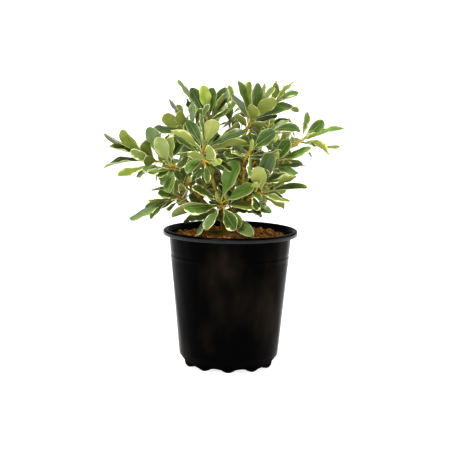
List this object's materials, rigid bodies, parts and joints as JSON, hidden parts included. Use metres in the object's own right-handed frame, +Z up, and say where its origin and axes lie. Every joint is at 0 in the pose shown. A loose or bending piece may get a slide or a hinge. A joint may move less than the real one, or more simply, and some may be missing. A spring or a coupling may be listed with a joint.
{
  "type": "potted variegated japanese mock orange shrub",
  "caption": "Young evergreen shrub with whorls of cream-edged green leaves on short forking boughs, in a black plastic nursery pot of bark mix.",
  "frame": {"origin": "middle of the flat foot under the pot's floor", "axes": "+Z up, -Y towards the side that the picture shows, +X to its right"},
  "size_m": [0.294, 0.2118, 0.354],
  "materials": {
    "pot_plastic": "moulded black plastic, semi-gloss",
    "potting_mix": "loose moist bark and fibre",
    "bark": "young brown bark with leaf scars",
    "foliage": "leathery green leaves with cream margins"
  },
  "bodies": {
    "root": {"pot": "pot_plastic", "potting_mix": "potting_mix", "trunk": "bark", "bough_top_left": "bark", "bough_centre": "bark", "bough_top_right": "bark", "bough_rear": "bark", "bough_right_mid": "bark", "bough_left": "bark", "bough_low_right": "bark", "bough_low_left": "bark", "bough_front_low": "bark", "bough_right": "bark", "bough_far_right": "bark", "bough_front_right": "bark", "bough_middle": "bark", "bough_rear_left": "bark", "bough_rear_right": "bark", "leaves_front_low": "foliage", "leaves_low_right": "foliage", "leaves_low_left": "foliage", "leaves_left": "foliage", "leaves_centre": "foliage", "leaves_top_left": "foliage", "leaves_middle": "foliage", "leaves_top_right": "foliage", "leaves_right": "foliage", "leaves_front_right": "foliage", "leaves_right_mid": "foliage", "leaves_far_right": "foliage", "leaves_rear_left": "foliage", "leaves_rear": "foliage", "leaves_rear_right": "foliage"}
  },
  "joints": []
}
